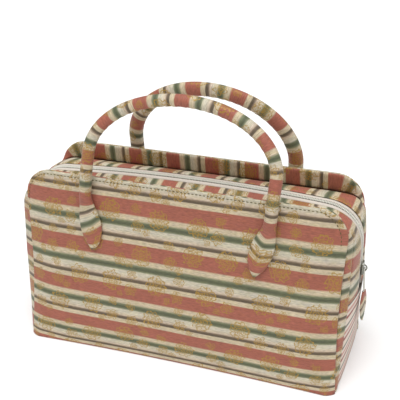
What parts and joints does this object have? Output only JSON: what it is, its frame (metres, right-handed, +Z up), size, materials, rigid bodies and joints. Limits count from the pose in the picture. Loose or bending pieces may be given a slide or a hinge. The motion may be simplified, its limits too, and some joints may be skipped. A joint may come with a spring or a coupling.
{
  "type": "kimono handbag",
  "caption": "Box-shaped bag of striped kimono brocade with standing panel ridges, a zip over the top and two rolled cloth handles.",
  "frame": {"origin": "middle of the base on the floor, where the standing bag rests", "axes": "X along the bag with the zip's slider at the +X end, Y from the front panel (-Y) to the back panel (+Y), Z up"},
  "size_m": [0.329, 0.1226, 0.251],
  "materials": {
    "brocade_panel": "striped silk brocade with woven flowers, satin",
    "brocade_strip": "silk brocade cut across its stripes, satin",
    "brocade_end": "pale silk brocade with fine stripes",
    "brocade_handle": "silk brocade rolled over a cord, ringed by its stripes",
    "zipper_tape": "off-white woven tape",
    "zipper_coil": "grey nylon coil",
    "slider_metal": "dull grey metal",
    "pull_strap": "pale grey woven strap",
    "pull_leaf": "folded green and cream brocade"
  },
  "bodies": {
    "root": {"front_panel": "brocade_panel", "back_panel": "brocade_panel", "facing_front": "brocade_strip", "facing_back": "brocade_strip", "gusset_front": "brocade_strip", "gusset_back": "brocade_strip", "zipper_tape_front": "zipper_tape", "zipper_tape_back": "zipper_tape", "zipper_coil": "zipper_coil", "zipper_slider": "slider_metal", "pull_strip": "pull_strap", "pull_tab": "pull_leaf", "end_panel_left": "brocade_end", "end_panel_right": "brocade_end", "base_panel": "brocade_end", "handle_front": "brocade_handle", "handle_back": "brocade_handle"}
  },
  "joints": []
}
